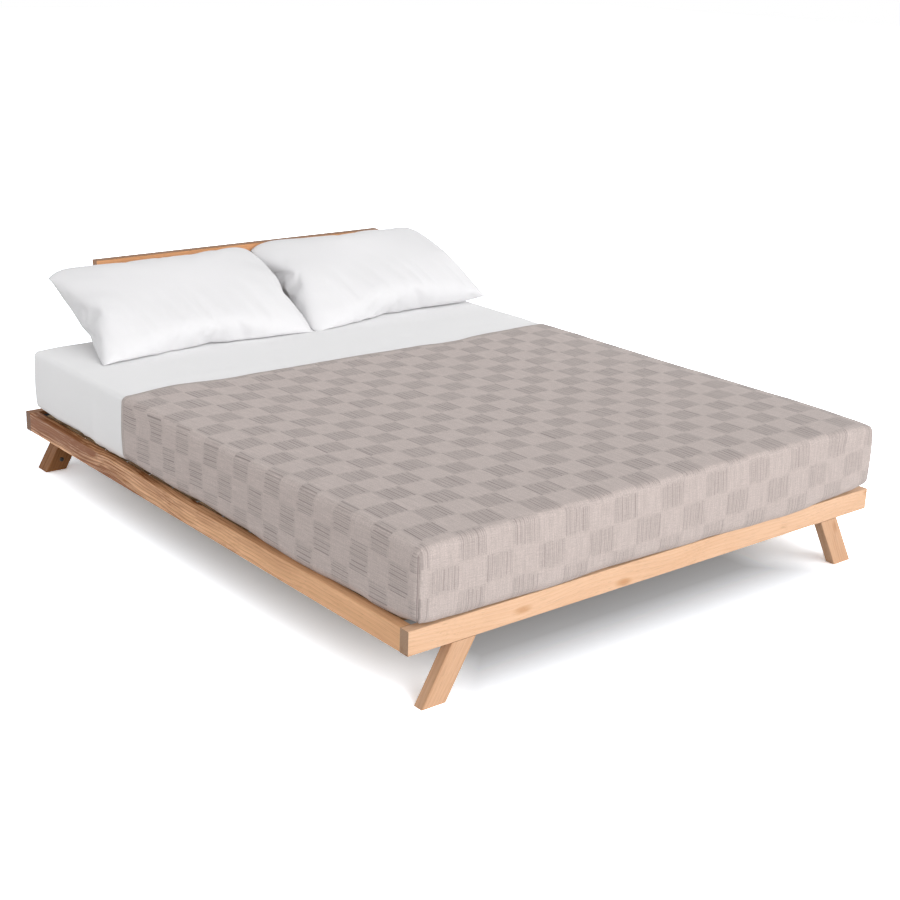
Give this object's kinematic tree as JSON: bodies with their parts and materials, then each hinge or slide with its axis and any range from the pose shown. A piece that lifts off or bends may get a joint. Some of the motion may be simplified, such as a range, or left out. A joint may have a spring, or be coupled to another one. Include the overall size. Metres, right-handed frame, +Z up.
{
  "type": "double bed",
  "caption": "Low slatted timber double bed on splayed legs, with a board headboard, mattress, white fitted sheet, tucked checker-weave blanket and pillows.",
  "frame": {"origin": "on the floor, under the middle of the bed's outline", "axes": "+Z up, +Y from the foot to the headboard, +X across the bed, to the right seen from the foot"},
  "size_m": [1.71, 2.111, 0.685],
  "materials": {
    "oiled_timber": "oiled, open grain",
    "inner_timber": "planed, bare",
    "slat_timber": "planed softwood, bare",
    "bracket_steel": "zinc plated",
    "screw_steel": "zinc plated",
    "black_bolt": "blackened, satin",
    "glide_steel": "moulded sole on a steel stud",
    "slat_tape": "woven tape",
    "mattress_cover": "knitted ticking",
    "sheet_cotton": "plain white cotton",
    "blanket_weave": "warm grey weave with a checker of striped squares",
    "pillow_cotton": "plain white cotton"
  },
  "bodies": {
    "frame": {"foot_rail": "oiled_timber", "head_rail": "oiled_timber", "side_rail_left": "oiled_timber", "side_rail_right": "oiled_timber", "front_leg_left": "oiled_timber", "front_leg_right": "oiled_timber", "rear_leg_left": "oiled_timber", "rear_leg_right": "oiled_timber", "strut_left": "oiled_timber", "strut_right": "oiled_timber", "headboard_panel": "oiled_timber", "ledger_left": "inner_timber", "ledger_right": "inner_timber", "centre_beam": "inner_timber", "centre_leg_foot": "inner_timber", "centre_leg_head": "inner_timber", "slat_01": "slat_timber", "slat_02": "slat_timber", "slat_03": "slat_timber", "slat_04": "slat_timber", "slat_05": "slat_timber", "slat_06": "slat_timber", "slat_07": "slat_timber", "slat_08": "slat_timber", "slat_09": "slat_timber", "slat_10": "slat_timber", "slat_11": "slat_timber", "slat_12": "slat_timber", "slat_13": "slat_timber", "slat_14": "slat_timber", "corner_bracket_foot_left": "bracket_steel", "corner_bracket_foot_right": "bracket_steel", "corner_bracket_head_right": "bracket_steel", "corner_bracket_head_left": "bracket_steel", "beam_shoe_foot": "bracket_steel", "beam_shoe_head": "bracket_steel", "leg_screws": "screw_steel", "bracket_screws": "screw_steel", "ledger_screws": "screw_steel", "shoe_screws": "screw_steel", "centre_leg_screws": "screw_steel", "slat_screws": "screw_steel", "panel_screws": "screw_steel", "headboard_bolts": "black_bolt", "headboard_cap_nuts": "black_bolt", "levelling_feet": "glide_steel", "slat_tape_left": "slat_tape", "slat_tape_right": "slat_tape"},
    "made_mattress": {"mattress": "mattress_cover", "fitted_sheet": "sheet_cotton", "blanket": "blanket_weave"},
    "left_pillow": {"pillow_left": "pillow_cotton"},
    "right_pillow": {"pillow_right": "pillow_cotton"}
  },
  "joints": [
    {"name": "mattress_lift", "type": "slide", "parent": "frame", "child": "made_mattress", "axis": [0, 0, 1], "range_m": [0, 0.5]},
    {"name": "pillow_left_lift", "type": "slide", "parent": "made_mattress", "child": "left_pillow", "axis": [0, 0, 1], "range_m": [0, 0.3]},
    {"name": "pillow_right_lift", "type": "slide", "parent": "made_mattress", "child": "right_pillow", "axis": [0, 0, 1], "range_m": [0, 0.3]}
  ]
}
